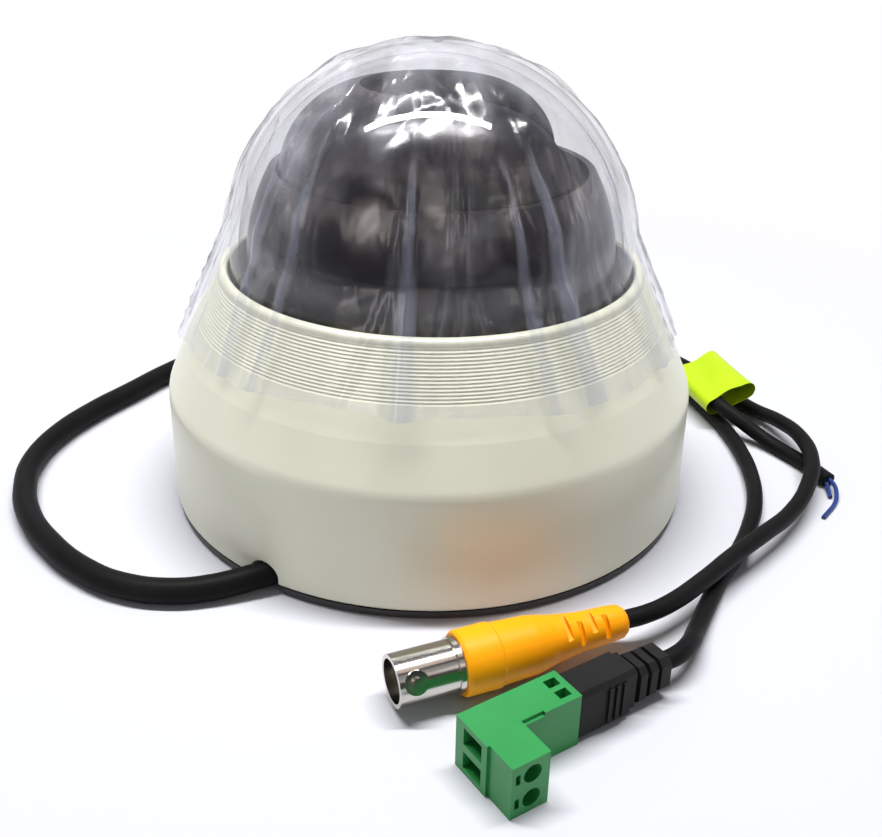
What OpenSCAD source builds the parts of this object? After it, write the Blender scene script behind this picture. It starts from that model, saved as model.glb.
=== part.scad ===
// Indoor dome surveillance camera, standing on its mounting base with the dome up.
// Millimetres, +Z up, origin at the middle of the base's underside.

/* [Housing] */
// Diameter of the housing at its lower rim
housing_d = 120; // [118:0.5:124]
// Height of the rim above the mounting surface
rim_z = 2; // [1.5:0.1:2.5]
// Height of the crease between the upright band and the cone
crease_z = 27.5; // [25:0.5:29]
// Height of the lip round the dome
lip_z = 54.2; // [53.6:0.1:55.4]
// Radius of the soft crease
crease_round = 7; // [3:0.5:10]
// Thickness of the moulded walls
wall = 2.2; // [2:0.1:2.4]
// Number of fine grip ribs below the lip
rib_count = 15; // [10:1:18]
// Depth of the grooves between the ribs
rib_depth = 0.2; // [0.15:0.05:0.4]

/* [Dome] */
// Outer diameter of the clear dome
dome_d = 88.4; // [87.6:0.2:89]
// Thickness of the clear dome
dome_wall = 2; // [1.6:0.1:2.2]
// Clearance between the film and the dome
film_gap = 0.7; // [0.6:0.1:1]
// Thickness of the film's solid
film_t = 0.3; // [0.3:0.05:0.5]
// Number of folds in the hanging film
fold_count = 10; // [8:1:12]
// Outward reach of the film's folds at its hem
fold_reach = 2; // [1:0.1:2.6]

/* [Base] */
// Thickness of the base plate
floor_t = 3; // [2.6:0.1:3.4]
// Circle diameter of the mounting screw holes
mount_pcd = 96; // [92:1:98]
// Diameter of the mounting screw holes
mount_hole_d = 4.6; // [4:0.1:5]
// Diameter of the main board
board_d = 72; // [70:1:74]

/* [Camera head] */
// Height of the tilt axis
pivot_z = 60; // [59:0.5:61]
// Angle of the lens from straight up, as it stands
tilt_rest = 50; // [40:1:60]
// Clearance between the inner cap and the skirt's rim
cap_gap = 0.4; // [0.4:0.1:1.5]
// Clearance between the inner cap's flat top and the dome
crown_gap = 5.6; // [5.2:0.2:7]
// Diameter of the tilt pins
trunnion_d = 4; // [3.6:0.1:4.4]
// Radial clearance of the tilt pins
trunnion_fit = 0.06; // [0.04:0.01:0.09]
// Outer diameter of the zoom ring
zoom_d = 25; // [24:0.2:26]
// Outer diameter of the focus ring
focus_d = 24.4; // [23.6:0.2:25]
// Number of infrared lamps
lamp_count = 8; // [6:1:9]

/* [Cables] */
// Diameter of the main cable
main_d = 5.4; // [5.2:0.1:5.4]
// Diameter of the three tails
tail_d = 3.7; // [3.5:0.1:3.7]

/* [Connectors] */
// Outer diameter of the video jack
jack_d = 9.6; // [9.5:0.05:9.7]
// Distance between the poles of the screw terminal
pole_pitch = 5.08; // [5:0.02:5.12]
// Height of the screw terminal as it lies
terminal_h = 10.8; // [10.6:0.1:11.2]

/* [Hidden] */
$fn = 96;

// Gap between pieces that move past each other, and a hair of overlap for clean cuts
gap = 0.3;
eps = 0.05;

// Housing
rim_r = housing_d / 2;
crease_r = rim_r - 0.4;
dome_r = dome_d / 2;
dome_in_r = dome_r - dome_wall;
dome_z = lip_z + 1.2;
bore_r = dome_r + 0.6;
ledge_z = lip_z - 8.2;
seat_w = 3.6;
seat_gap = 0.4;
seat_r = bore_r + seat_w;
crease = [crease_r, crease_z];
cone_seat = [seat_r + wall, ledge_z];
cone_hi = [bore_r + 2.2, lip_z - 1.5];
lip_w = 2;
lip_round = 1.2;
cone_mid = (crease + cone_seat) / 2 + [0.35, 0];
rib_hi = lip_z - 1.6;
rib_lo = lip_z - 11;
rib_pitch = (rib_hi - rib_lo) / rib_count;
seal_t = 0.6;
flange_t = 2;
flange_z = ledge_z - seal_t - flange_t;
flange_r = seat_r - seat_gap;
clamp_t = 1.6;
clamp_z = flange_z - clamp_t;
dome_screw_r = (bore_r + flange_r) / 2;

// Base and bayonet
base_r = rim_r - wall - gap;
base_wall_r = base_r - 1.2;
foot_r = rim_r - gap;
foot_h = rim_z - gap;
base_wall_z = 12;
lug_span = 16;
lug_z = 8;
lug_h = 2.5;
catch_z = 5;
catch_h = 2.6;
boss_r = 44;
mount_count = 3;
boss_top = 24;
board_z = 8;
board_t = 1.6;
standoff_r = board_d / 2 - 5;
chassis_t = 3;
chassis_rim = 10;
arm_w = 9;
arm_end = 4;
boss_d = 7.2;

// Cable exit: a channel through the base and its wall
exit_side = 242.2;
exit_at = (base_r - 6.06) * [cos(exit_side), sin(exit_side)];
exit_turn = 206;
exit_z = 3.5;
channel_w = 7.4;

// Camera head
table_z = boss_top + chassis_t + gap;
table_t = 3;
skirt_gap = 1.6;
skirt_wall = 1.4;
skirt_r = dome_in_r - skirt_gap;
skirt_z = dome_z - 1.4;
skirt_h = 20.6;
skirt_top = skirt_z + skirt_h;
skirt_rim_r = sqrt(pow(skirt_r - skirt_wall, 2) - pow(skirt_h, 2));
cap_r = skirt_rim_r - cap_gap;
cap_top_z = dome_z + dome_in_r - crown_gap;
table_r = cap_r;
hub_r = 23.7;
hub_wall = 3.2;
hub_screw_r = hub_r - hub_wall / 2;
retainer_t = 2.2;
retainer_z = boss_top - gap - 0.1 - retainer_t;
wire_hole_r = 9;
cap_z = table_z + table_t;
cap_wall = 1.4;
cap_round = 20;
slot_low = 20;
slot_high = 15;
slot_z = pivot_z - 12;
arm_in = 19.6;
arm_t = 2.4;
yoke_arm_r = 7;
yoke_foot_w = 24;
yoke_foot_t = 2.2;
yoke_screw_x = yoke_foot_w / 2 - 3;
yoke_screw_y = arm_in - 5.6;
cradle_in = 14.3;
collar_r = cradle_in - gap;
cradle_r = 17.2;
cradle_h = 8;
collar_neck_r = 13.2;
collar_bore = 11;
collar_flange_r = 16.8;
collar_flange_t = 1.9;
clip_t = 2;
collar_back = -9.2;
collar_front = cradle_h / 2 + gap + collar_flange_t;
core_r = 9.5;
ring_z = collar_front + 0.4;
zoom_h = 5.5;
focus_h = 6.3;
zoom_z = ring_z + gap;
focus_z = zoom_z + zoom_h + gap;
barrel_stop = focus_z + focus_h + gap;
lamp_seat = barrel_stop + 0.7;
lamp_board_t = 1.6;
barrel_front_r = 11.5;
lamp_ring_r = 16.2;
glass_r = 8.5;
sensor_board_w = 25;
sensor_board_t = 1.6;

// Connectors, as they lie in front of the housing
jack_at = [-6, -85, 6.2];
jack_turn = 22.5;
jack_len = 12.4;
boot_end = 46.5;
slot_count = 4;
slot_from = 33.4;
slot_pitch = 2.7;
slot_w = 1.1;
lug_turn = 64;
lug_from_mouth = 3.1;
socket_d = 8.1;
socket_depth = 4.2;
terminal_at = [5, -98, 0];
terminal_turn = 33;
terminal_end = 20.2;
pole_z = [terminal_h / 2 - pole_pitch / 2, terminal_h / 2 + pole_pitch / 2];

// Label: a flat loop round the alarm tail, tipped up at its outer side
label_at = [76.3, 33.4, 8.3];
label_turn = -74.7;
label_tip = 22;
label_w = 14.6;
label_h = 5;
label_l = 20;
label_t = 0.4;

// Cable routes along the surface, from the gland and from the splitter outwards
main_z = main_d / 2;
tail_z = tail_d / 2 + 0.05;
main_route = [
    [-21, -44, 3.5], [-28, -47.4, 3.5], [-35, -50.8, 3.4], [-43, -53.8, 2.9], [-51, -55, main_z],
    [-61, -53.3, main_z], [-70.5, -48, main_z], [-80, -39, main_z], [-88, -28, main_z],
    [-93, -16, main_z], [-95, -3, main_z], [-93, 10, main_z], [-87.5, 23, main_z],
    [-81, 34, main_z], [-74, 46, main_z], [-65, 58, main_z], [-53, 69, main_z],
    [-38, 77.5, main_z], [-21, 82, main_z], [-8, 83, main_z], [2, 83, main_z]
];
video_route = [
    [30.25, 87.2, 3], [40, 86, 2.2], [51, 81.5, tail_z], [61.5, 74, tail_z], [70.5, 63.5, tail_z],
    [77.5, 52, tail_z], [82.5, 40, tail_z], [87, 29.5, 2.3], [90.8, 19, 4.3], [92.8, 8, 5.8],
    [92.2, -4, 5.9], [87.8, -15.5, 5.2], [80.8, -26.5, 4.9], [72, -36.5, 5.8], [63.5, -45, 6],
    [55.5, -53.5, 5.9], [47, -61.7, 6.1], [41.6, -65.3, 6.2], [37, -67.2, 6.2]
];
power_route = [
    [30.25, 78.8, 3], [40, 77, 2.2], [50, 72, tail_z], [59, 64, tail_z], [66, 54, tail_z],
    [70.8, 43, tail_z], [74.3, 31, tail_z], [77, 19, tail_z], [78.2, 6.5, tail_z],
    [77.8, -5.5, tail_z], [75.8, -16.5, tail_z], [72, -27, tail_z], [66.8, -37.5, tail_z],
    [61, -47, tail_z], [55.5, -57.5, tail_z], [51.5, -66, 2.6], [49, -71.6, 4.2],
    [45.8, -75.9, 5.2], [41.9, -78.4, 5.2]
];
alarm_route = [
    [30.25, 83, 3], [40, 81.4, 2.6], [50.5, 76.3, 2.8], [59.5, 68.4, 3.8], [66.3, 58.5, 5.4],
    [70.4, 43.1, 7], [73.3, 32.6, 7], [76.1, 22.1, 7], [80, 17.6, 5.2], [84.4, 13.6, 3],
    [88.5, 8.3, tail_z], [92.3, 1.5, tail_z], [96, -7, tail_z]
];
wire_r = 0.5;
wire_a = [[96.2, -7.2, 2.2], [96.7, -9.4, 1.9], [96.2, -13, 1], [94.9, -15.6, 0.55], [92.7, -18.6, 0.55],
    [90.5, -21.4, 0.55]];
wire_b = [[95.4, -7.6, 1.4], [95.3, -9.6, 1], [94.9, -12.6, 0.55]];

// Radius of the cone's outside at a height
function between(a, b, z) = a[0] + (b[0] - a[0]) * (z - a[1]) / (b[1] - a[1]);
function cone_r(z) = z < cone_mid[1]
    ? between(crease, cone_mid, z)
    : z < cone_seat[1] ? between(cone_mid, cone_seat, z) : between(cone_seat, cone_hi, z);

// Directions along a cable's route
function unit(v) = v / norm(v);

// Arc of radius r in the corner b of an outline that comes from a and goes on to c
function corner(a, b, c, r, steps) =
    let (
        u = unit(a - b),
        v = unit(c - b),
        half = acos(u * v) / 2,
        centre = b + unit(u + v) * r / sin(half),
        from = b + u * r / tan(half) - centre,
        start = atan2(from[1], from[0])
    )
    [for (i = [0 : steps]) centre + r * [cos(start + (180 - 2 * half) * i / steps),
                                         sin(start + (180 - 2 * half) * i / steps)]];
function heading(p, i) = unit(p[min(i + 1, len(p) - 1)] - p[max(i - 1, 0)]);
function across(t) = unit(cross([0, 0, 1], t));

// A tube of equal sides along a route, closed at both ends
module tube(route, r, sides) {
    n = len(route);
    points = [
        for (i = [0 : n - 1])
            let (t = heading(route, i), s = across(t), u = cross(t, s))
                for (k = [0 : sides - 1])
                    let (a = 360 * (k + 0.5) / sides)
                        route[i] + r * (cos(a) * s + sin(a) * u)
    ];
    faces = concat(
        [[for (k = [0 : sides - 1]) k]],
        [
            for (i = [0 : n - 2])
                for (k = [0 : sides - 1])
                    let (a = i * sides + k, b = i * sides + (k + 1) % sides)
                        each [[a, a + sides, b + sides], [a, b + sides, b]]
        ],
        [[for (k = [sides - 1 : -1 : 0]) (n - 1) * sides + k]]
    );
    polyhedron(points, faces);
}

// Part of a ring, from one angle over a span
module ring_part(r_in, r_out, turn, span, z, h) {
    rotate([0, 0, turn])
        rotate_extrude(angle = span)
            translate([r_in, z])
                square([r_out - r_in, h]);
}

// A pan-head screw standing on its head's seat, with its shank below
module screw(head_r, head_h, shank_r, shank_l) {
    difference() {
        union() {
            cylinder(r = head_r, h = head_h, $fn = 32);
            translate([0, 0, -shank_l])
                cylinder(r = shank_r, h = shank_l + eps, $fn = 24);
        }
        translate([0, 0, head_h * 0.55]) {
            cube([head_r * 1.2, head_r * 0.3, head_h], center = true);
            cube([head_r * 0.3, head_r * 1.2, head_h], center = true);
        }
    }
}

// Puts copies round the axis
module around(count, r, turn = 0) {
    for (i = [0 : count - 1])
        rotate([0, 0, turn + 360 * i / count])
            translate([r, 0, 0])
                children();
}

// Frames of the tilted lens, the jack and the terminal
module optic() {
    translate([0, 0, pivot_z])
        rotate([0, tilt_rest, 0])
            children();
}

module along_jack() {
    translate(jack_at)
        rotate([0, 0, jack_turn])
            rotate([0, 90, 0])
                children();
}

module at_terminal() {
    translate(terminal_at)
        rotate([0, 0, terminal_turn])
            children();
}

module at_exit() {
    translate(exit_at)
        rotate([0, 0, exit_turn])
            children();
}

// Base plate: foot that shows below the rim, floor, upright wall with three bayonet lugs, bosses and
// the cable channel
module base_plate() {
    color([0.09, 0.09, 0.1])
        difference() {
            union() {
                rotate_extrude()
                    polygon([
                        [0, 0], [foot_r - 0.4, 0], [foot_r, 0.4], [foot_r, foot_h],
                        [base_r, foot_h], [base_r, floor_t],
                        [base_wall_r, floor_t], [base_wall_r, base_wall_z],
                        [base_wall_r - 2, base_wall_z], [base_wall_r - 2, floor_t], [0, floor_t]
                    ]);
                for (i = [0 : 2])
                    ring_part(base_wall_r - 1, base_r, 12 + 120 * i, lug_span, lug_z, lug_h);
                around(3, boss_r, 30)
                    translate([0, 0, floor_t - eps])
                        cylinder(d = boss_d, h = boss_top - floor_t + eps, $fn = 32);
                around(4, standoff_r)
                    translate([0, 0, floor_t - eps])
                        cylinder(r = 3, h = board_z - floor_t + eps, $fn = 32);
            }
            around(mount_count, mount_pcd / 2, 90)
                translate([0, 0, -1])
                    cylinder(d = mount_hole_d, h = floor_t + 2, $fn = 48);
            around(3, boss_r, 30)
                translate([0, 0, boss_top - 10])
                    cylinder(r = 1.3, h = 11, $fn = 24);
            around(4, standoff_r)
                translate([0, 0, board_z - 4])
                    cylinder(r = 1.1, h = 5, $fn = 24);
            at_exit()
                translate([-6, -channel_w / 2, -1])
                    cube([30, channel_w, 8.2]);
        }
}

// Bracket on three bosses that carries the turning head
module chassis() {
    color([0.12, 0.12, 0.13])
        translate([0, 0, boss_top])
            difference() {
                union() {
                    cylinder(r = hub_r + gap + chassis_rim, h = chassis_t);
                    around(3, 0, 30)
                        translate([hub_r + gap + 1, -arm_w / 2, 0])
                            cube([boss_r + arm_end - hub_r - gap - 1, arm_w, chassis_t]);
                }
                translate([0, 0, -1])
                    cylinder(r = hub_r + gap, h = chassis_t + 2);
                around(3, boss_r, 30)
                    translate([0, 0, -1])
                        cylinder(r = 1.6, h = chassis_t + 2, $fn = 32);
            }
}

module chassis_screws() {
    color([0.75, 0.75, 0.77])
        around(3, boss_r, 30)
            translate([0, 0, boss_top + chassis_t])
                screw(2.8, 2, 1.2, 11);
}

// Main circuit board
module main_board() {
    color([0.05, 0.3, 0.16])
        translate([0, 0, board_z])
            difference() {
                cylinder(d = board_d, h = board_t);
                around(4, standoff_r)
                    translate([0, 0, -1])
                        cylinder(r = 1.3, h = board_t + 2, $fn = 24);
                translate([-7, board_d / 2 - 3, -1])
                    cube([14, 10, board_t + 2]);
            }
}

module board_chips() {
    color([0.06, 0.06, 0.07])
        translate([0, 0, board_z + board_t]) {
            translate([-2, -2, 0])
                cube([14, 14, 1.4]);
            translate([-18, 4, 0])
                cube([10, 8, 1.2]);
            translate([-16, -14, 0])
                cylinder(r = 3.2, h = 6, $fn = 32);
            translate([-7, -17, 0])
                cylinder(r = 3.2, h = 6, $fn = 32);
            translate([3, -24, 0])
                cube([8, 8, 4]);
        }
}

module board_sockets() {
    color([0.92, 0.91, 0.86])
        translate([0, 0, board_z + board_t])
            for (a = [140, 200, 320])
                rotate([0, 0, a])
                    translate([24, -5, 0])
                        difference() {
                            cube([5, 10, 5]);
                            translate([1, 1, 1.2])
                                cube([3, 8, 5]);
                        }
}

module board_screws() {
    color([0.75, 0.75, 0.77])
        around(4, standoff_r)
            translate([0, 0, board_z + board_t])
                screw(2.4, 1.6, 1, 5);
}

// Rubber gland that holds the main cable in the base's channel
module cable_gland() {
    color([0.08, 0.08, 0.08])
        intersection() {
            at_exit()
                difference() {
                    translate([-1, -channel_w / 2 + 0.1, gap])
                        cube([12, channel_w - 0.2, exit_z + main_d / 2 + 0.8 - gap]);
                    translate([-2, 0, exit_z])
                        rotate([0, 90, 0])
                            cylinder(r = main_d / 2 + 0.05, h = 14, $fn = 48);
                }
            cylinder(r = base_r - 0.1, h = base_wall_z);
        }
}

module main_cable() {
    color([0.07, 0.07, 0.075])
        tube(main_route, main_d / 2, 12);
}

// Moulded block behind the housing where the main cable parts into three tails
module cable_splitter() {
    color([0.07, 0.07, 0.075])
        translate([0, 83, 0])
            linear_extrude(height = 6.4)
                polygon([
                    [2, -3.4], [8, -4], [22, -7.2], [29, -7.2], [30, -6.4],
                    [30, 6.4], [29, 7.2], [22, 7.2], [8, 4], [2, 3.4]
                ]);
}

module video_cable() {
    color([0.07, 0.07, 0.075])
        tube(video_route, tail_d / 2, 8);
}

module power_cable() {
    color([0.07, 0.07, 0.075])
        tube(power_route, tail_d / 2, 8);
}

module alarm_cable() {
    color([0.07, 0.07, 0.075])
        tube(alarm_route, tail_d / 2, 8);
}

// Thin wires at the alarm tail's cut end
module alarm_wires() {
    color([0.1, 0.18, 0.5]) {
        tube(wire_a, wire_r, 6);
        tube(wire_b, wire_r, 6);
    }
}

// Label folded round the alarm tail as a flat loop, lying on the other two tails
module loop_outline(w, t) {
    square([w - t, t], center = true);
    translate([-(w - t) / 2, 0])
        circle(d = t, $fn = 32);
    translate([(w - t) / 2, 0])
        circle(d = t, $fn = 32);
}

module cable_label() {
    color([0.78, 0.95, 0.1])
        translate(label_at)
            rotate([0, 0, label_turn])
                rotate([label_tip, 0, 0])
                    rotate([90, 0, 90])
                        linear_extrude(height = label_l, center = true)
                            difference() {
                                loop_outline(label_w, label_h);
                                loop_outline(label_w - 2 * label_t, label_h - 2 * label_t);
                            }
}

// Video jack: nickel shell with two bayonet lugs, insulator, centre contact and moulded boot
module jack_shell() {
    r = jack_d / 2;
    color([0.8, 0.8, 0.78])
        along_jack() {
            difference() {
                union() {
                    cylinder(r = r, h = jack_len, $fn = 64);
                    translate([0, 0, jack_len - 1.2])
                        cylinder(r = r + 0.4, h = 1.2, $fn = 64);
                    for (s = [0, 180])
                        rotate([0, 0, lug_turn + s])
                            translate([0, 0, lug_from_mouth])
                                rotate([0, 90, 0]) {
                                    cylinder(r = 1, h = r + 0.8, $fn = 32);
                                    cylinder(r = 2.2, h = r + 0.05, $fn = 48);
                                }
                }
                translate([0, 0, -1])
                    cylinder(d = socket_d, h = socket_depth + 1, $fn = 64);
                translate([0, 0, -1])
                    cylinder(d = socket_d - 1.1, h = 10.4, $fn = 64);
                translate([0, 0, 9])
                    cylinder(r = 2.5, h = 5, $fn = 32);
            }
        }
}

module jack_insulator() {
    color([0.95, 0.95, 0.93])
        along_jack()
            translate([0, 0, 4.6])
                difference() {
                    cylinder(r = 2.45, h = jack_len - 4.6, $fn = 32);
                    translate([0, 0, -1])
                        cylinder(r = 1.15, h = jack_len, $fn = 32);
                }
}

module jack_contact() {
    color([0.85, 0.68, 0.3])
        along_jack()
            translate([0, 0, 4.3])
                difference() {
                    cylinder(r = 1.1, h = jack_len - 4.3, $fn = 32);
                    translate([0, 0, -1])
                        cylinder(r = 0.7, h = 6, $fn = 32);
                }
}

module jack_boot() {
    color([1, 0.66, 0.05])
        along_jack()
            difference() {
                rotate_extrude()
                    polygon([
                        [0, jack_len], [5.7, jack_len], [6.05, jack_len + 0.5], [6.1, 19.2], [5.8, 19.7],
                        [5.45, 27], [5, 29.5], [4.6, 31], [3.7, 37], [3.45, 43.5],
                        [3.2, 45.6], [2.6, boot_end], [0, boot_end]
                    ]);
                for (i = [0 : slot_count - 1], s = [0, 180])
                    rotate([0, 0, (i % 2 == 0 ? 206 : 235) + s])
                        translate([3.3 - 0.2 * i, -5, slot_from + slot_pitch * i - slot_w / 2])
                            cube([5, 10, slot_w]);
            }
}

// Moulded boot of the power tail, with grip ribs and a stepped strain relief
module block_x(x, length, y, w, z, h, edge) {
    translate([x, y, z])
        rotate([90, 0, 90])
            linear_extrude(height = length)
                polygon([
                    [-w / 2 + edge, -h / 2], [w / 2 - edge, -h / 2], [w / 2, -h / 2 + edge],
                    [w / 2, h / 2 - edge], [w / 2 - edge, h / 2], [-w / 2 + edge, h / 2],
                    [-w / 2, h / 2 - edge], [-w / 2, -h / 2 + edge]
                ]);
}

module power_boot() {
    mid_z = terminal_h / 2;
    color([0.08, 0.08, 0.085])
        at_terminal() {
            block_x(terminal_end + 0.2, 11.3, -3.7, 7.2, mid_z, 10, 0.8);
            block_x(31.6, 1.6, -3.7, 6.4, mid_z, 9, 0.8);
            block_x(33, 8.5, -3.7, 4.8, 5.2, 5.6, 0.8);
            for (i = [0 : 1])
                block_x(34.2 + 2.5 * i, 1.6, -3.7, 6.6, 5.2, 8 - 0.5 * i, 1.2);
            block_x(39.2, 2.3, -3.7, 6.6, 5.2, 7.2, 1.2);
            for (i = [0 : 2], s = [-1, 1])
                translate([26.4 + 1.6 * i, -3.7 + s * 3.6 - 0.4, mid_z - 3.6])
                    cube([0.8, 0.8, 7.2]);
        }
}

module power_pins() {
    color([0.8, 0.79, 0.72])
        at_terminal()
            for (z = pole_z)
                translate([13.4, -3.7 - 0.5, z - 0.5])
                    cube([terminal_end + 0.2 - 13.4, 1, 1]);
}

// Plug-in screw terminal lying on its side, its two poles one above the other
module terminal_block() {
    color([0.2, 0.62, 0.33])
        at_terminal()
            difference() {
                union() {
                    translate([0, -14.6, 0])
                        cube([8, 14.6, terminal_h]);
                    translate([7, -7.4, 0])
                        cube([terminal_end - 7, 7.4, terminal_h]);
                }
                translate([-1, -15, -1])
                    cube([1.5, 6.4, terminal_h + 2]);
                translate([8, -8, terminal_h - 0.7])
                    cube([4.5, 1.2, 1]);
                for (z = pole_z) {
                    translate([-1, -7.2, z - 1.75])
                        cube([7.6, 5, 3.5]);
                    translate([4.6, -6.4, z])
                        rotate([90, 0, 0])
                            cylinder(r = 1.75, h = 9, $fn = 48);
                    translate([1.3, -15, z - 1])
                        cube([0.9, 2, 2]);
                    translate([13, -3.7 - 0.75, z - 0.75])
                        cube([9, 1.5, 1.5]);
                }
                for (y = [-3.2, -6.2])
                    translate([16.6, y, terminal_h - 2])
                        cube([2.4, 1.9, 3]);
            }
}

module terminal_screws() {
    color([0.72, 0.72, 0.74])
        at_terminal()
            for (z = pole_z)
                translate([4.6, -6.2, z])
                    rotate([90, 0, 0])
                        difference() {
                            cylinder(r = 1.65, h = 5.8, $fn = 32);
                            translate([-2, -0.25, 5])
                                cube([4, 0.5, 2]);
                        }
}

module terminal_clamps() {
    color([0.78, 0.78, 0.76])
        at_terminal()
            for (z = pole_z)
                translate([3.4, -6.1, z - 1.6])
                    difference() {
                        cube([2.6, 3.8, 3.2]);
                        translate([-1, 0.6, 0.6])
                            cube([4.6, 2.6, 2]);
                    }
}

// Housing cover: upright band, cone, grip ribs and the lip round the dome
module housing() {
    ribs = [
        for (i = [rib_count - 1 : -1 : 0])
            let (z = rib_hi - rib_pitch * (i + 1))
                each [[cone_r(z), z], [cone_r(z + rib_pitch / 2) - rib_depth, z + rib_pitch / 2]]
    ];
    color([0.86, 0.85, 0.77])
        difference() {
            union() {
                rotate_extrude($fn = 144)
                    polygon(concat(
                        [
                            [rim_r - wall, rim_z], [rim_r - 0.4, rim_z], [rim_r, rim_z + 0.5]
                        ],
                        corner([rim_r, rim_z + 0.5], crease, cone_mid, crease_round, 6),
                        [cone_mid],
                        ribs,
                        [[cone_r(rib_hi), rib_hi], cone_hi],
                        corner(cone_hi, [bore_r + lip_w, lip_z], [bore_r, lip_z], lip_round, 4),
                        [
                            [bore_r + 0.4, lip_z], [bore_r, lip_z - 0.5],
                            [bore_r, ledge_z], [seat_r, ledge_z],
                            [cone_mid[0] - wall, cone_mid[1]], [crease_r - wall, crease_z - 0.7]
                        ]
                    ));
                for (i = [0 : 2])
                    ring_part(base_wall_r + 0.4, base_r + 1, 42 + 120 * i, lug_span, catch_z, catch_h);
            }
            around(4, dome_screw_r, 45)
                translate([0, 0, ledge_z - 1])
                    cylinder(r = 0.95, h = 5, $fn = 24);
            at_exit() {
                translate([2, -main_d / 2 - 0.4, -1])
                    cube([20, main_d + 0.8, exit_z + 1]);
                translate([2, 0, exit_z])
                    rotate([0, 90, 0])
                        cylinder(r = main_d / 2 + 0.4, h = 20, $fn = 48);
            }
        }
}

// Clear dome with a short upright neck and a clamped flange
module clear_dome() {
    color([0.85, 0.88, 0.92, 0.35])
        difference() {
            rotate_extrude($fn = 144) {
                intersection() {
                    difference() {
                        translate([0, dome_z])
                            circle(r = dome_r);
                        translate([0, dome_z])
                            circle(r = dome_in_r);
                    }
                    translate([0, dome_z])
                        square([dome_r + 1, dome_r + 1]);
                }
                translate([dome_in_r, flange_z])
                    square([dome_wall, dome_z - flange_z]);
                translate([dome_in_r, flange_z])
                    square([flange_r - dome_in_r, flange_t]);
            }
            around(4, dome_screw_r, 45)
                translate([0, 0, flange_z - 1])
                    cylinder(r = 1.15, h = flange_t + 2, $fn = 24);
        }
}

module dome_seal() {
    color([0.1, 0.1, 0.1])
        translate([0, 0, ledge_z - seal_t])
            difference() {
                cylinder(r = flange_r, h = seal_t);
                translate([0, 0, -1])
                    cylinder(r = bore_r, h = seal_t + 2);
                around(4, dome_screw_r, 45)
                    translate([0, 0, -1])
                        cylinder(r = 1.15, h = seal_t + 2, $fn = 24);
            }
}

// Black liner inside the dome: a rounded skirt whose flange clamps the dome
module liner_skirt() {
    color([0.05, 0.05, 0.055])
        difference() {
            rotate_extrude($fn = 144) {
                intersection() {
                    difference() {
                        translate([0, skirt_z])
                            circle(r = skirt_r);
                        translate([0, skirt_z])
                            circle(r = skirt_r - skirt_wall);
                    }
                    translate([0, skirt_z])
                        square([skirt_r + 1, skirt_top - skirt_z]);
                }
                translate([skirt_r - skirt_wall, clamp_z])
                    square([skirt_wall, skirt_z - clamp_z]);
                translate([skirt_r - skirt_wall, clamp_z])
                    square([flange_r - skirt_r + skirt_wall, clamp_t]);
            }
            around(4, dome_screw_r, 45)
                translate([0, 0, clamp_z - 1])
                    cylinder(r = 1.15, h = clamp_t + 2, $fn = 24);
        }
}

module dome_screws() {
    color([0.72, 0.72, 0.74])
        around(4, dome_screw_r, 45)
            translate([0, 0, clamp_z])
                rotate([180, 0, 0])
                    screw(1.7, 1.3, 0.9, clamp_t + flange_t + seal_t + 3.6);
}

// Clear film draped over the dome: it follows the dome, then hangs in folds past the lip
film_rings = 10;
film_segments = fold_count * 6;
film_top_r = dome_r + film_gap;
film_break = 80;
film_hem_z = lip_z - 13;
film_hem_r = cone_r(film_hem_z) + 1.2;
fold_shape = [0, 0.3, 1, 0.35, 0.05, 0];
break_r = film_top_r * sin(film_break);
break_z = dome_z + film_top_r * cos(film_break);

function film_point(j, k, t) =
    let (
        a = 360 * k / film_segments,
        u = j / film_rings,
        hang = max(0, (u - 0.6) / 0.4),
        fold = fold_reach * pow(max(0, u - 0.25) / 0.75, 1.6) * fold_shape[k % 6],
        on_dome = u <= 0.6,
        polar = film_break * u / 0.6,
        r = on_dome ? (film_top_r + t) * sin(polar) : break_r + (film_hem_r - break_r) * hang + t,
        z = on_dome
            ? dome_z + (film_top_r + t) * cos(polar)
            : break_z + (film_hem_z - break_z) * hang + 0.8 * hang * sin(3 * a + 40)
    )
    [(r + fold) * cos(a), (r + fold) * sin(a), z];

module protective_film() {
    n = film_segments;
    m = film_rings;
    inner = 1 + m * n;
    points = concat(
        [[0, 0, dome_z + film_top_r + film_t]],
        [for (j = [1 : m], k = [0 : n - 1]) film_point(j, k, film_t)],
        [[0, 0, dome_z + film_top_r]],
        [for (j = [1 : m], k = [0 : n - 1]) film_point(j, k, 0)]
    );
    faces = concat(
        [for (k = [0 : n - 1]) [0, 1 + (k + 1) % n, 1 + k]],
        [for (k = [0 : n - 1]) [inner, inner + 1 + k, inner + 1 + (k + 1) % n]],
        [
            for (j = [0 : m - 2], k = [0 : n - 1])
                let (a = 1 + j * n + k, b = 1 + j * n + (k + 1) % n)
                    each [[a, b, b + n], [a, b + n, a + n]]
        ],
        [
            for (j = [0 : m - 2], k = [0 : n - 1])
                let (a = inner + 1 + j * n + k, b = inner + 1 + j * n + (k + 1) % n)
                    each [[a, b + n, b], [a, a + n, b + n]]
        ],
        [
            for (k = [0 : n - 1])
                let (a = 1 + (m - 1) * n + k, b = 1 + (m - 1) * n + (k + 1) % n)
                    each [[a, b, b + inner], [a, b + inner, a + inner]]
        ]
    );
    color([0.9, 0.92, 0.95, 0.25])
        polyhedron(points, faces);
}

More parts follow.
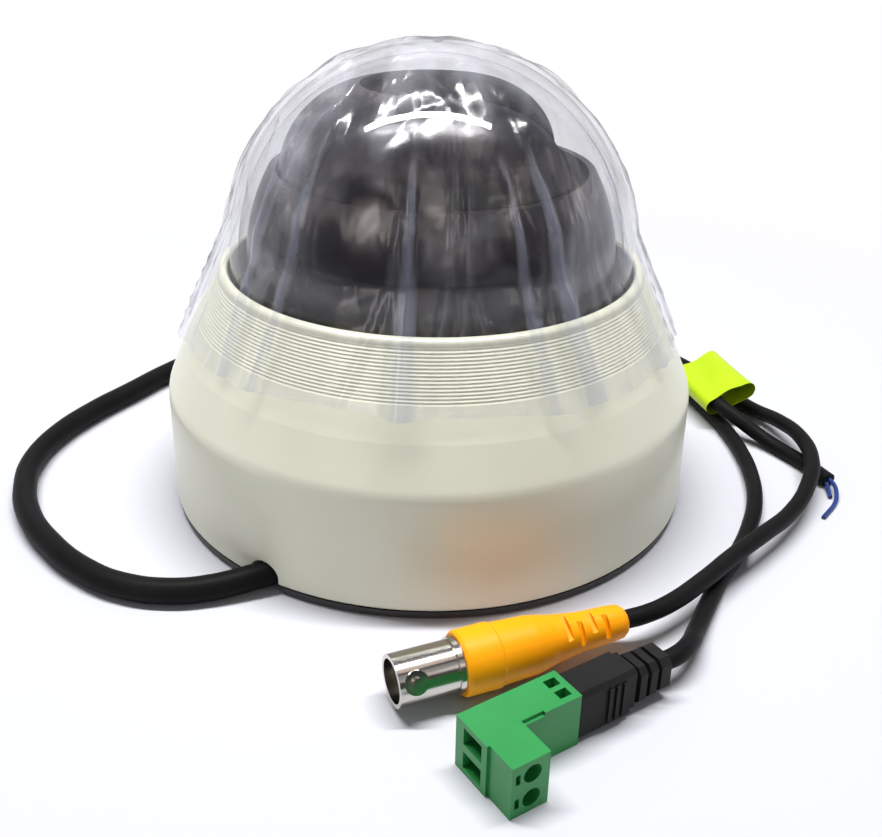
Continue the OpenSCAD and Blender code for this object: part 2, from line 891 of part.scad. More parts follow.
// Turntable of the head, with its hub and the ring that keeps it on the chassis
module turntable() {
    hub_z = retainer_z + retainer_t;
    color([0.1, 0.1, 0.11])
        difference() {
            union() {
                translate([0, 0, table_z])
                    cylinder(r = table_r, h = table_t);
                translate([0, 0, hub_z])
                    cylinder(r = hub_r, h = table_z - hub_z + eps);
            }
            translate([0, 0, hub_z - 1])
                cylinder(r = wire_hole_r, h = table_z + table_t - hub_z + 2);
            translate([0, 0, hub_z - 1])
                cylinder(r = hub_r - hub_wall, h = table_z - hub_z + 1);
            around(3, hub_screw_r)
                translate([0, 0, hub_z - 1])
                    cylinder(r = 0.7, h = table_z - hub_z + 1.5, $fn = 24);
            for (x = [-yoke_screw_x, yoke_screw_x], y = [-yoke_screw_y, yoke_screw_y])
                translate([x, y, table_z - 1])
                    cylinder(r = 1.05, h = table_t + 2, $fn = 24);
        }
}

module pan_retainer() {
    color([0.6, 0.6, 0.62])
        translate([0, 0, retainer_z])
            difference() {
                cylinder(r = hub_r + gap + 3, h = retainer_t);
                translate([0, 0, -1])
                    cylinder(r = hub_r - hub_wall - 1.5, h = retainer_t + 2);
                around(3, hub_screw_r)
                    translate([0, 0, -1])
                        cylinder(r = 0.9, h = retainer_t + 2, $fn = 24);
            }
}

module pan_screws() {
    color([0.75, 0.75, 0.77])
        around(3, hub_screw_r)
            translate([0, 0, retainer_z])
                rotate([180, 0, 0])
                    screw(1.5, 1.2, 0.65, retainer_t + 3.2);
}

// Yoke: a bridge and two arms that carry the tilt pins
module yoke() {
    color([0.11, 0.11, 0.12])
        difference() {
            union() {
                translate([-yoke_foot_w / 2, -arm_in - arm_t, cap_z])
                    cube([yoke_foot_w, 2 * (arm_in + arm_t), yoke_foot_t]);
                for (s = [-1, 1]) {
                    translate([-yoke_arm_r, s * (arm_in + arm_t / 2) - arm_t / 2, cap_z])
                        cube([2 * yoke_arm_r, arm_t, pivot_z - cap_z]);
                    translate([0, s * (arm_in + arm_t / 2) - arm_t / 2, pivot_z])
                        rotate([-90, 0, 0])
                            cylinder(r = yoke_arm_r, h = arm_t, $fn = 48);
                }
            }
            translate([0, 0, cap_z - 1])
                cylinder(r = wire_hole_r, h = yoke_foot_t + 2);
            for (x = [-yoke_screw_x, yoke_screw_x], y = [-yoke_screw_y, yoke_screw_y])
                translate([x, y, cap_z - 1])
                    cylinder(r = 1.2, h = yoke_foot_t + 2, $fn = 24);
            translate([0, -40, pivot_z])
                rotate([-90, 0, 0])
                    cylinder(r = trunnion_d / 2 + trunnion_fit, h = 80, $fn = 48);
        }
}

module yoke_screws() {
    color([0.75, 0.75, 0.77])
        for (x = [-yoke_screw_x, yoke_screw_x], y = [-yoke_screw_y, yoke_screw_y])
            translate([x, y, cap_z + yoke_foot_t])
                screw(2, 1.5, 1, yoke_foot_t + 2.6);
}

// Inner cap that turns with the head, with a slot for the lens from its side over its top
module cap_outline(r, top, round) {
    intersection() {
        union() {
            translate([0, cap_z - 1])
                square([r, top - round - cap_z + 1]);
            translate([0, cap_z - 1])
                square([r - round, top - cap_z + 1]);
            translate([r - round, top - round])
                circle(r = round);
        }
        translate([0, cap_z - 1])
            square([r + 1, top]);
    }
}

module liner_cap() {
    r = cap_r;
    color([0.05, 0.05, 0.055])
        difference() {
            rotate_extrude($fn = 144)
                intersection() {
                    difference() {
                        cap_outline(r, cap_top_z, cap_round);
                        cap_outline(r - cap_wall, cap_top_z - cap_wall, cap_round - cap_wall);
                    }
                    translate([0, cap_z])
                        square([r + 1, cap_top_z]);
                }
            rotate([90, 0, 90])
                linear_extrude(height = r + 2)
                    polygon([
                        [-slot_low, slot_z], [slot_low, slot_z],
                        [slot_high, cap_top_z + 3], [-slot_high, cap_top_z + 3]
                    ]);
            translate([0, 0, cap_top_z - 12])
                cylinder(r = slot_high + 0.3, h = 20);
        }
}

// Cradle that tilts between the arms
module tilt_cradle() {
    color([0.12, 0.12, 0.13])
        optic()
            difference() {
                union() {
                    cylinder(r = cradle_r, h = cradle_h, center = true);
                    for (s = [-90, 90])
                        rotate([s, 0, 0])
                            cylinder(r = cradle_h / 2 - 0.2, h = arm_in - gap, $fn = 32);
                }
                cylinder(r = cradle_in, h = 20, center = true);
                rotate([90, 0, 0])
                    cylinder(r = trunnion_d / 2 + 0.02, h = 60, center = true, $fn = 48);
            }
}

module trunnion_pins() {
    pin_end = arm_in + arm_t + gap;
    color([0.72, 0.72, 0.74])
        optic()
            for (s = [-90, 90])
                rotate([s, 0, 0]) {
                    translate([0, 0, cradle_in + 0.8])
                        cylinder(r = trunnion_d / 2, h = pin_end + eps - cradle_in - 0.8, $fn = 48);
                    translate([0, 0, pin_end])
                        cylinder(r = trunnion_d / 2 + 1.2, h = 1.2, $fn = 32);
                }
}

// Collar that turns in the cradle about the lens axis, and its retaining clip
module lens_collar() {
    seat = cradle_h / 2 + gap;
    color([0.1, 0.1, 0.11])
        optic()
            rotate_extrude()
                polygon([
                    [collar_bore, collar_back], [collar_neck_r, collar_back], [collar_neck_r, -seat],
                    [collar_r, -seat], [collar_r, seat], [collar_flange_r, seat],
                    [collar_flange_r, collar_front], [collar_bore, collar_front]
                ]);
}

module roll_clip() {
    color([0.6, 0.6, 0.62])
        optic()
            translate([0, 0, -cradle_h / 2 - gap - clip_t])
                difference() {
                    cylinder(r = collar_flange_r - 0.4, h = clip_t);
                    translate([0, 0, -1])
                        cylinder(r = collar_neck_r + 0.04, h = clip_t + 2);
                }
}

module sensor_board() {
    color([0.05, 0.3, 0.16])
        optic()
            translate([-sensor_board_w / 2, -sensor_board_w / 2, collar_back - sensor_board_t])
                cube([sensor_board_w, sensor_board_w, sensor_board_t]);
}

module sensor_chip() {
    color([0.15, 0.15, 0.2])
        optic()
            translate([-4.5, -4.5, collar_back])
                cube([9, 9, 1.4]);
}

// Varifocal lens: barrel, front glass, zoom ring and focus ring with their levers
module lens_barrel() {
    r = collar_bore - 0.05;
    f = barrel_front_r;
    z = lamp_seat;
    color([0.07, 0.07, 0.075])
        optic()
            rotate_extrude()
                polygon([
                    [5, collar_back + 1.8], [r, collar_back + 1.8], [r, ring_z], [core_r, ring_z],
                    [core_r, barrel_stop], [f + 2, barrel_stop], [f + 2, z], [f, z], [f, z + 3.6],
                    [f - 0.4, z + 4], [f - 2.3, z + 4], [glass_r, z + 1.8], [glass_r, z + 0.3], [5, z + 0.3]
                ]);
}

module front_lens() {
    bulge_r = 24;
    color([0.35, 0.3, 0.5, 0.6])
        optic()
            intersection() {
                translate([0, 0, lamp_seat + 0.3])
                    cylinder(r = glass_r - 0.05, h = 4);
                translate([0, 0, lamp_seat + 3.6 - bulge_r])
                    sphere(r = bulge_r);
            }
}

module turn_ring(outer, z, h, lever_turn) {
    difference() {
        union() {
            translate([0, 0, z])
                cylinder(r = outer, h = h);
            rotate([0, 0, lever_turn])
                translate([0, 0, z + h / 2])
                    rotate([0, 90, 0])
                        cylinder(r = 1.1, h = outer + 4, $fn = 24);
        }
        translate([0, 0, z - 1])
            cylinder(r = core_r + gap, h = h + 2);
        around(24, outer + 0.45)
            translate([0, 0, z - 1])
                cylinder(r = 0.8, h = h / 2 - 0.8, $fn = 16);
    }
}

module zoom_ring() {
    color([0.12, 0.12, 0.13])
        optic()
            turn_ring(zoom_d / 2, zoom_z, zoom_h, 160);
}

module focus_ring() {
    color([0.12, 0.12, 0.13])
        optic()
            turn_ring(focus_d / 2, focus_z, focus_h, 200);
}

// Ring of infrared lamps round the lens, with a light sensor between two of them
module ir_board() {
    color([0.06, 0.06, 0.07])
        optic()
            translate([0, 0, lamp_seat])
                difference() {
                    cylinder(r = lamp_ring_r + 4.2, h = lamp_board_t);
                    translate([0, 0, -1])
                        cylinder(r = barrel_front_r + 0.1, h = lamp_board_t + 2);
                }
}

module ir_lamps() {
    color([0.8, 0.8, 0.85])
        optic()
            around(lamp_count, lamp_ring_r)
                translate([0, 0, lamp_seat + lamp_board_t]) {
                    cylinder(r = 2.5, h = 1.4, $fn = 32);
                    intersection() {
                        translate([0, 0, 1.35])
                            sphere(r = 2.1, $fn = 32);
                        cylinder(r = 3, h = 4, $fn = 32);
                    }
                }
}

module light_sensor() {
    color([0.85, 0.8, 0.6])
        optic()
            rotate([0, 0, 180 / lamp_count])
                translate([lamp_ring_r + 0.8, 0, lamp_seat + lamp_board_t])
                    cylinder(r = 1.3, h = 1.6, $fn = 32);
}

base_plate();
chassis();
chassis_screws();
main_board();
board_chips();
board_sockets();
board_screws();
cable_gland();
main_cable();
cable_splitter();
video_cable();
power_cable();
alarm_cable();
alarm_wires();
cable_label();
jack_shell();
jack_insulator();
jack_contact();
jack_boot();
power_boot();
power_pins();
terminal_block();
terminal_screws();
terminal_clamps();
housing();
clear_dome();
dome_seal();
liner_skirt();
dome_screws();
protective_film();
turntable();
pan_retainer();
pan_screws();
yoke();
yoke_screws();
liner_cap();
tilt_cradle();
trunnion_pins();
lens_collar();
roll_clip();
sensor_board();
sensor_chip();
lens_barrel();
front_lens();
ir_board();
ir_lamps();
light_sensor();
zoom_ring();
focus_ring();
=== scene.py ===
# %% [markdown]
# # Dressing a dome camera
# The exact solids come in as a frame. This lesson gives each of them the finish that it has on the
# real product, and adds what is soft or bends: the cables, the folded label and the clear film.

# %% Load the frame
import math
import random

import bpy
from mathutils import Matrix, Vector, noise


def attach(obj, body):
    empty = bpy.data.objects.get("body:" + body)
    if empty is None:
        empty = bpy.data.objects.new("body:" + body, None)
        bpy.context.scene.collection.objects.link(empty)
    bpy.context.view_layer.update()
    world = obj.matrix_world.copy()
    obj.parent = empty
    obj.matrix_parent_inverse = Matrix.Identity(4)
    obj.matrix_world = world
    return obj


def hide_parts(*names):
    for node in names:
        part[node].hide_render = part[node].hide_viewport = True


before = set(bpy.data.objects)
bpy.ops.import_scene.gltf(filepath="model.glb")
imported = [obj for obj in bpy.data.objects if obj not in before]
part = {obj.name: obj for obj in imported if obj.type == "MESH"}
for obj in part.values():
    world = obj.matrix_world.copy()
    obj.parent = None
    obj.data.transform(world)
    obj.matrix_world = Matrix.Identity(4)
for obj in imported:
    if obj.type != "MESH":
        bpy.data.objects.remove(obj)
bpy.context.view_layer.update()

# %% [markdown]
# ## Camera
# The photo was taken from a little above, close to the object, so its perspective is strong. A camera
# could be placed by eye. Here its place and focal length come from the ellipses of the housing's rim,
# crease and opening, because then every edge falls where it is in the photo.

# %% Camera at the photo's viewing angle
IMAGE_WIDTH = 882
FOCAL_PIXELS = 1095.8
SENSOR_WIDTH = 36
CAMERA_AT = (0, -0.2330, 0.13526)
CAMERA_LOOK = (0.01066, 0.88640, -0.46279)
CAMERA_ROLL = math.radians(1.063)


def put(name, data):
    """A new object with this data, linked into the scene."""
    piece = bpy.data.objects.new(name, data)
    bpy.context.scene.collection.objects.link(piece)
    return piece


look = Vector(CAMERA_LOOK).normalized()
level = look.cross(Vector((0, 0, 1))).normalized()
upright = level.cross(look)
right = level * math.cos(CAMERA_ROLL) + upright * math.sin(CAMERA_ROLL)
top = upright * math.cos(CAMERA_ROLL) - level * math.sin(CAMERA_ROLL)
turn = Matrix((right, top, -look)).transposed().to_4x4()

lens = bpy.data.cameras.new("photo_camera")
lens.sensor_fit = "HORIZONTAL"
lens.sensor_width = SENSOR_WIDTH
lens.lens = SENSOR_WIDTH * FOCAL_PIXELS / IMAGE_WIDTH
lens.clip_start = 0.01
camera = put("photo_camera", lens)
camera.matrix_world = Matrix.Translation(CAMERA_AT) @ turn
bpy.context.scene.camera = camera
print("focal length:", round(lens.lens, 2), "mm")

# %% [markdown]
# ## Cables
# One thick cable leaves under the rim, goes round behind, and parts into three thin tails. A cable could
# be a swept mesh. A curve with a round section is chosen here, because a few points then give one smooth
# tube. The points are the route of the solid, so the curve lies where the solid lies.

# %% Routes in millimetres
MAIN = 2.7  # height of the main cable's middle where it lies on the floor
TAIL = 1.9  # the same for a tail
main_route = [
    (-21, -44, 3.5), (-28, -47.4, 3.5), (-35, -50.8, 3.4), (-43, -53.8, 2.9), (-51, -55, MAIN),
    (-61, -53.3, MAIN), (-70.5, -48, MAIN), (-80, -39, MAIN), (-88, -28, MAIN), (-93, -16, MAIN),
    (-95, -3, MAIN), (-93, 10, MAIN), (-87.5, 23, MAIN), (-81, 34, MAIN), (-74, 46, MAIN),
    (-65, 58, MAIN), (-53, 69, MAIN), (-38, 77.5, MAIN), (-21, 82, MAIN), (-8, 83, MAIN), (2, 83, MAIN),
]
video_route = [
    (30.25, 87.2, 3), (40, 86, 2.2), (51, 81.5, TAIL), (61.5, 74, TAIL), (70.5, 63.5, TAIL),
    (77.5, 52, TAIL), (82.5, 40, TAIL), (87, 29.5, 2.3), (90.8, 19, 4.3), (92.8, 8, 5.8),
    (92.2, -4, 5.9), (87.8, -15.5, 5.2), (80.8, -26.5, 4.9), (72, -36.5, 5.8), (63.5, -45, 6),
    (55.5, -53.5, 5.9), (47, -61.7, 6.1), (41.6, -65.3, 6.2), (37, -67.2, 6.2),
]
power_route = [
    (30.25, 78.8, 3), (40, 77, 2.2), (50, 72, TAIL), (59, 64, TAIL), (66, 54, TAIL), (70.8, 43, TAIL),
    (74.3, 31, TAIL), (77, 19, TAIL), (78.2, 6.5, TAIL), (77.8, -5.5, TAIL), (75.8, -16.5, TAIL),
    (72, -27, TAIL), (66.8, -37.5, TAIL), (61, -47, TAIL), (55.5, -57.5, TAIL), (51.5, -66, 2.6),
    (49, -71.6, 4.2), (45.8, -75.9, 5.2), (41.9, -78.4, 5.2),
]
alarm_route = [
    (30.25, 83, 3), (40, 81.4, 2.6), (50.5, 76.3, 2.8), (59.5, 68.4, 3.8), (66.3, 58.5, 5.4),
    (70.4, 43.1, 6.95), (73.3, 32.6, 6.95), (75, 26.2, 6.95), (76.1, 22.1, 6.9), (80, 17.6, 5.2),
    (84.4, 13.6, 3), (88.5, 8.3, TAIL), (92.3, 1.5, TAIL), (96, -7, TAIL),
]
print("points:", [len(r) for r in (main_route, video_route, power_route, alarm_route)])

# %% [markdown]
# Auto handles give the long easy bends that a jacketed cable takes. Blender counts a knot's radius, which
# is 1 m if nothing is set, into the curve's box. So the knots get a radius of 1 mm, and the bevel's depth
# is the cable's radius in millimetres.

# %% A smooth cable
KNOT_RADIUS = 0.001


def metres(route):
    return [Vector(p) / 1000 for p in route]


def smooth_cable(name, route, diameter, sides=4):
    """One open curve through the route, with a round section."""
    data = bpy.data.curves.new(name, "CURVE")
    data.dimensions = "3D"
    data.bevel_depth = diameter / 2 / KNOT_RADIUS
    data.bevel_resolution = sides
    data.resolution_u = 8
    data.use_fill_caps = True
    spline = data.splines.new("BEZIER")
    points = metres(route)
    spline.bezier_points.add(len(points) - 1)
    for knot, place in zip(spline.bezier_points, points):
        knot.co = place
        knot.radius = KNOT_RADIUS
        knot.handle_left_type = knot.handle_right_type = "AUTO"
    return put(name, data)


# %% Lay the cables, with what is on their ends listed
MAIN_DIAMETER = 0.0054
TAIL_DIAMETER = 0.0037
cables = {}
for name, route, diameter, far_end, ends in (
    ("main_cable", main_route, MAIN_DIAMETER, "fitting", ["cable_splitter"]),
    ("video_cable", video_route, TAIL_DIAMETER, "connector",
     ["jack_shell", "jack_insulator", "jack_contact", "jack_boot"]),
    ("power_cable", power_route, TAIL_DIAMETER, "connector",
     ["power_boot", "power_pins", "terminal_block", "terminal_screws", "terminal_clamps"]),
    ("alarm_cable", alarm_route, TAIL_DIAMETER, "bare", []),
):
    cable = smooth_cable(name + "_lead", route, diameter)
    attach(cable, "base")
    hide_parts(name)
    cables[name] = cable
    bpy.context.view_layer.update()

# %% [markdown]
# The alarm tail is cut and stripped, so thin insulated wires come out of its jacket. They bend as the
# cables do, so they are curves of the same kind.

# %% Blue wires at the alarm tail's end
WIRE_DIAMETER = 0.001
wire_routes = [
    [(96.2, -7.2, 2.2), (96.7, -9.4, 1.9), (96.2, -13, 1), (94.9, -15.6, 0.55), (92.7, -18.6, 0.55),
     (90.5, -21.4, 0.55)],
    [(95.4, -7.6, 1.4), (95.3, -9.6, 1), (94.9, -12.6, 0.55)],
]
wires = []
for i, route in enumerate(wire_routes):
    wire = smooth_cable("blue_wire_%d" % (i + 1), route, WIRE_DIAMETER, sides=3)
    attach(wire, "base")
    wires.append(wire)
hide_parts("alarm_wires")
print("wires:", len(wires))

# %% [markdown]
# ## Label
# The label is a strip of coated paper, stuck to itself round the alarm tail. It makes a flat loop with a
# rounded fold at each side, and its far side is raised. A solid slab would look too thick, so a grid is
# bent round the loop instead, and its edges stay thin. It carries no wording.

# %% A point on the label's loop
LABEL_AT = Vector((0.0763, 0.0334, 0.0083))
LABEL_TURN = math.radians(-74.7)
LABEL_TIP = math.radians(22)
LABEL_LENGTH = 0.020
LABEL_WIDTH = 0.0144
LABEL_THICK = 0.0048
LABEL_FLAT = LABEL_WIDTH - LABEL_THICK
LABEL_BEND = math.pi * LABEL_THICK / 2


def loop_point(s):
    """A point round the flat loop, for s from 0 to 1."""
    run = s * 2 * (LABEL_FLAT + LABEL_BEND)
    r = LABEL_THICK / 2
    if run < LABEL_FLAT:
        return Vector((run - LABEL_FLAT / 2, -r))
    run -= LABEL_FLAT
    if run < LABEL_BEND:
        a = run / r - math.pi / 2
        return Vector((LABEL_FLAT / 2 + r * math.cos(a), r * math.sin(a)))
    run -= LABEL_BEND
    if run < LABEL_FLAT:
        return Vector((LABEL_FLAT / 2 - run, r))
    run -= LABEL_FLAT
    a = run / r + math.pi / 2
    return Vector((-LABEL_FLAT / 2 + r * math.cos(a), r * math.sin(a)))


# %% Fold the label
LABEL_WAVE = 0.00035  # its upper face isn't quite flat
AROUND, ALONG = 72, 20
spots, faces = [], []
for i in range(ALONG + 1):
    x = (i / ALONG - 0.5) * LABEL_LENGTH
    for k in range(AROUND):
        p = loop_point(k / AROUND)
        wave = LABEL_WAVE * math.sin(9 * p.x / LABEL_WIDTH + 3 * x / LABEL_LENGTH) if p.y > 0 else 0
        spots.append(Vector((x, p.x, p.y + wave)))
for i in range(ALONG):
    for k in range(AROUND):
        a, b = i * AROUND + k, i * AROUND + (k + 1) % AROUND
        faces.append((a, b, b + AROUND, a + AROUND))
mesh = bpy.data.meshes.new("folded_label")
mesh.from_pydata(spots, [], faces)
mesh.transform(Matrix.Translation(LABEL_AT) @ Matrix.Rotation(LABEL_TURN, 4, "Z")
               @ Matrix.Rotation(LABEL_TIP, 4, "X"))
mesh.shade_smooth()
label = put("folded_label", mesh)
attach(label, "base")
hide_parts("cable_label")
print("label points:", len(spots))

# %% [markdown]
# ## Film
# New cameras come with a thin clear film over the dome. It lies close on the crown, then hangs past the
# lip in straight pleats, because a round cap has more film at its hem than the dome needs. A cloth
# simulation could drape it, but its folds would fall anywhere. So the sheet is a polar grid, shaped in
# code. Its main folds are those of the solid, and the front pleats stand where the photo has them. Finer
# pleats come from a seeded draw, so that they are the same each time.

# %% Measures and pleats of the film
DOME_CENTRE = 0.0554
DOME_RADIUS = 0.0442
FILM_REST = DOME_RADIUS + 0.00085
BREAK_AT = 0.6  # share of the way from crown to hem where the film leaves the dome
BREAK = math.radians(80)  # the dome's angle from its top there
HEM_RADIUS, HEM_HEIGHT = 0.05435, 0.0412
MAIN_FOLDS = [math.radians(12 + 36 * i) for i in range(10)]
FRONT_PLEATS = [(math.radians(angle), math.radians(width), lean) for angle, width, lean in (
    (264.5, 2.3, 0.02), (293, 1.5, 0.12), (303, 3.2, 0.16),
    (233, 1.4, -0.08), (219, 2.2, 0.05), (331, 2.2, 0.0),
)]
dice = random.Random(7)
small_pleats = [  # angle, width, height, start and slant of each
    (dice.uniform(0, 2 * math.pi), math.radians(dice.uniform(0.7, 2.2)), dice.uniform(0.2, 0.7) / 1000,
     dice.uniform(0.12, 0.62), dice.uniform(-0.4, 0.4)) for _ in range(72)
]
print("folds:", len(MAIN_FOLDS), "front pleats:", len(FRONT_PLEATS), "small pleats:", len(small_pleats))

# %% [markdown]
# The film looks milkier where it lies double. So each fold says two things at a place on the film: how
# far it stands off, and how much film lies double there. In these functions, u is the way from the crown
# at 0 to the hem at 1.

# %% Folds and pleats
FOLD_WIDTH, FOLD_HEIGHT, FOLD_FROM = math.radians(8), 0.0020, 0.25
PLEAT_HEIGHT = 0.0007
PLEAT_DOUBLE, SMALL_DOUBLE = 1.4, 0.4


def apart(a, b):
    """Angle between two directions."""
    return abs((a - b + math.pi) % (2 * math.pi) - math.pi)


def ramp(value, start, end):
    return max(0, min(1, (value - start) / (end - start)))


def film_fold(angle, u):
    """How far the film stands off its rest shape in its folds, and how much of it lies double there."""
    lift = double = 0.0
    for fold in MAIN_FOLDS:
        near = max(0, 1 - apart(angle, fold) / FOLD_WIDTH)
        lift += FOLD_HEIGHT * (max(0, u - FOLD_FROM) / (1 - FOLD_FROM)) ** 1.6 * near**1.4
    for fold, width, lean in FRONT_PLEATS:
        opened = width * (0.4 + 0.6 * ramp(u, 0.35, 0.8))
        near = max(0, 1 - apart(angle, fold + lean * (u - BREAK_AT)) / opened)
        lift += PLEAT_HEIGHT * near * ramp(u, 0.28, 0.45)
        double += PLEAT_DOUBLE * min(1, 6 * near) * ramp(u, 0.36, 0.46)
    for fold, width, height, start, slant in small_pleats:
        near = max(0, 1 - apart(angle, fold + slant * (u - start)) / width)
        lift += height * ramp(u, start, start + 0.2) * near
        double += SMALL_DOUBLE * near * ramp(u, start, start + 0.3)
    return lift, min(PLEAT_DOUBLE, double)


print("a main fold stands off", round(film_fold(MAIN_FOLDS[0], 1)[0] * 1000, 2), "mm at the hem")

# %% [markdown]
# On the crown the film is crumpled: flat facets with sharp creases between them. The distance to a
# Voronoi cell's edge has just that shape. It fades out where the film starts to hang. The hem is cut
# a little unevenly, and a milky line along its edge, bright in bits, is a painted highlight where the hem
# catches the light. Noise vectors start from the clock in Blender if no seed is set, so a seed is set
# first, and the crumples are the same each time.

# %% Crumples and hem
CRUMPLES = ((6.5, 0.0015), (14, 0.0003))  # facets along the film's radius, and height in metres
CRUMPLE_FADE = 0.35
noise.seed_set(23)


def crumple(angle, u):
    """Flat facets with sharp creases between them, large and small, on the crown."""
    flat = Vector((math.cos(angle) * u, math.sin(angle) * u, 0))
    lift = 0.0
    for scale, height in CRUMPLES:
        place = flat * scale + 0.3 * noise.noise_vector(flat * scale * 0.8)
        near, _ = noise.voronoi(place)
        lift += height * min(0.7, near[1] - near[0])
    return lift * min(1, u * 5) * max(0.1, 1 - 1.9 * max(0, u - CRUMPLE_FADE))


def hem_drop(angle, hang):
    """Uneven cut: a slow wave round the hem and a finer one at its very edge."""
    round_hem = Vector((math.cos(angle), math.sin(angle), 0))
    return hang**2 * 0.0011 * math.sin(3 * angle + 0.7) + hang**4 * 0.0009 * noise.noise(round_hem * 5)


def hem_glint_haze(angle, u):
    """Painted highlight: how milky the film's edge is, in bright bits where the hem catches the light."""
    glinting = 0.5 + 2.2 * noise.noise(Vector((math.cos(angle), math.sin(angle), 0.4)) * 9)
    return min(0.8, max(0.1, 0.7 * glinting)) * ramp(u, 0.97, 0.985)


print("hem at one side:", round(hem_drop(0, 1) * 1000, 2), "mm, edge:", round(hem_glint_haze(0, 1), 2))

# %% Points of the film
RINGS, SEGMENTS = 110, 360
spots = [Vector((0, 0, DOME_CENTRE + FILM_REST))]
double_and_hem_glint = [0.0]
for j in range(1, RINGS + 1):
    u = j / RINGS
    for k in range(SEGMENTS):
        angle = 2 * math.pi * k / SEGMENTS
        lift, double = film_fold(angle, u)
        lift += crumple(angle, u)
        if u <= BREAK_AT:
            polar = BREAK * u / BREAK_AT
            r = (FILM_REST + lift) * math.sin(polar)
            z = DOME_CENTRE + (FILM_REST + lift) * math.cos(polar)
        else:
            hang = (u - BREAK_AT) / (1 - BREAK_AT)
            r = FILM_REST * math.sin(BREAK) * (1 - hang) + HEM_RADIUS * hang + lift
            z = (DOME_CENTRE + FILM_REST * math.cos(BREAK)) * (1 - hang) + HEM_HEIGHT * hang
            z += hem_drop(angle, hang)
        spots.append(Vector((r * math.cos(angle), r * math.sin(angle), z)))
        # Film that lies double in folds, plus the painted highlight along the hem.
        double_and_hem_glint.append(double + hem_glint_haze(angle, u))
print("film points:", len(spots))

# %% Join the points into a sheet
faces = [(0, 1 + k, 1 + (k + 1) % SEGMENTS) for k in range(SEGMENTS)]
for j in range(RINGS - 1):
    for k in range(SEGMENTS):
        a, b = 1 + j * SEGMENTS + k, 1 + j * SEGMENTS + (k + 1) % SEGMENTS
        faces.append((a, a + SEGMENTS, b + SEGMENTS, b))
mesh = bpy.data.meshes.new("draped_film")
mesh.from_pydata(spots, [], faces)
mesh.attributes.new("double_and_hem_glint", "FLOAT", "POINT").data.foreach_set("value", double_and_hem_glint)
mesh.shade_smooth()
film = put("draped_film", mesh)
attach(film, "film")
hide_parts("protective_film")

# %% [markdown]
# ## Finishes
# A finish is a small tree of shader nodes. Such trees can be clicked together in the shader editor. In
# code, two helpers make them short: one adds a node with its settings and inputs, the other a colour
# ramp. An input is either a value or the output of another node.

# %% Helpers for shader nodes
def add(tree, kind, inputs=None, **settings):
    """A new node. Each input is a value, or another node's output to link from."""
    node = tree.nodes.new("ShaderNode" + kind)
    for name, value in settings.items():
        setattr(node, name, value)
    for name, value in (inputs or {}).items():
        if isinstance(value, bpy.types.NodeSocket):
            tree.links.new(value, node.inputs[name])
        else:
            node.inputs[name].default_value = value
    return node


def colours(tree, share, stops):
    """A colour ramp through its stops, each a place from 0 to 1 and a colour."""
    node = add(tree, "ValToRGB", {"Fac": share})
    elements = node.color_ramp.elements
    for i, (place, colour) in enumerate(stops):
        stop = elements[i] if i < 2 else elements.new(place)
        stop.position = place
        stop.color = (*colour, 1)
    return node.outputs["Color"]


def mixed(tree, share, first, second):
    """Two shaders mixed."""
    return add(tree, "MixShader", {0: share, 1: first, 2: second}).outputs["Shader"]


print("helpers:", add.__name__, colours.__name__, mixed.__name__)

# %% [markdown]
# Moulded and metal surfaces share one recipe. Plain even colour would look like a drawing, so broad noise
# varies the colour and the gloss a little, as moulding and handling do. Fine noise gives the grain that
# a mould leaves. Positions are in metres, so a noise scale of 2000 means grains of half a millimetre.

# %% One recipe for moulded and metal surfaces
def finish(name, dark, light, rough, grain=2200, depth=0.00001, blotch=45, metal=0.0, shine=0.5):
    """Colour between dark and light, roughness between two values, and a grain of some depth in metres."""
    material = bpy.data.materials.new(name)
    material.use_nodes = True
    tree = material.node_tree
    shader = tree.nodes["Principled BSDF"]
    place = add(tree, "TexCoord").outputs["Object"]
    cloud = add(tree, "TexNoise", {"Vector": place, "Scale": blotch, "Detail": 4}).outputs["Fac"]
    tone = colours(tree, cloud, ((0.3, dark), (0.7, light)))
    dull = add(tree, "MapRange", {"Value": cloud, "To Min": rough[0], "To Max": rough[1]})
    fine = add(tree, "TexNoise", {"Vector": place, "Scale": grain, "Detail": 3}).outputs["Fac"]
    bump = add(tree, "Bump", {"Height": fine, "Distance": depth, "Strength": 1})
    tree.links.new(tone, shader.inputs["Base Color"])
    tree.links.new(dull.outputs["Result"], shader.inputs["Roughness"])
    tree.links.new(bump.outputs["Normal"], shader.inputs["Normal"])
    shader.inputs["Metallic"].default_value = metal
    shader.inputs["Specular IOR Level"].default_value = shine
    return material


def wear(material, *names):
    """Gives a finish to solids by name, or to pieces."""
    for name in names:
        piece = part[name] if isinstance(name, str) else name
        piece.data.materials.clear()
        piece.data.materials.append(material)


# %% [markdown]
# The housing is a satin ivory moulding. The black mouldings inside are a little glossier than the base,
# so that the dome shows their curves.

# %% Housing and black mouldings
wear(finish("satin_ivory", (0.67, 0.67, 0.54), (0.71, 0.71, 0.58), (0.26, 0.35)), "housing")
wear(finish("matt_black", (0.016, 0.016, 0.018), (0.026, 0.026, 0.028), (0.4, 0.55)),
     "base_plate", "chassis", "turntable", "yoke", "tilt_cradle", "lens_collar", "zoom_ring", "focus_ring")
wear(finish("liner_black", (0.010, 0.009, 0.011), (0.018, 0.016, 0.02), (0.22, 0.32), depth=0.000006),
     "liner_skirt", "liner_cap")
wear(finish("lens_black", (0.012, 0.012, 0.013), (0.02, 0.02, 0.022), (0.25, 0.35)), "lens_barrel")
print("materials so far:", len(bpy.data.materials))

# %% [markdown]
# Cable jackets and boots are soft vinyl and rubber. They hardly shine, so their specular level is low.
# The video jack's boot is a smoother yellow vinyl, and the power plug's terminal a hard green plastic.

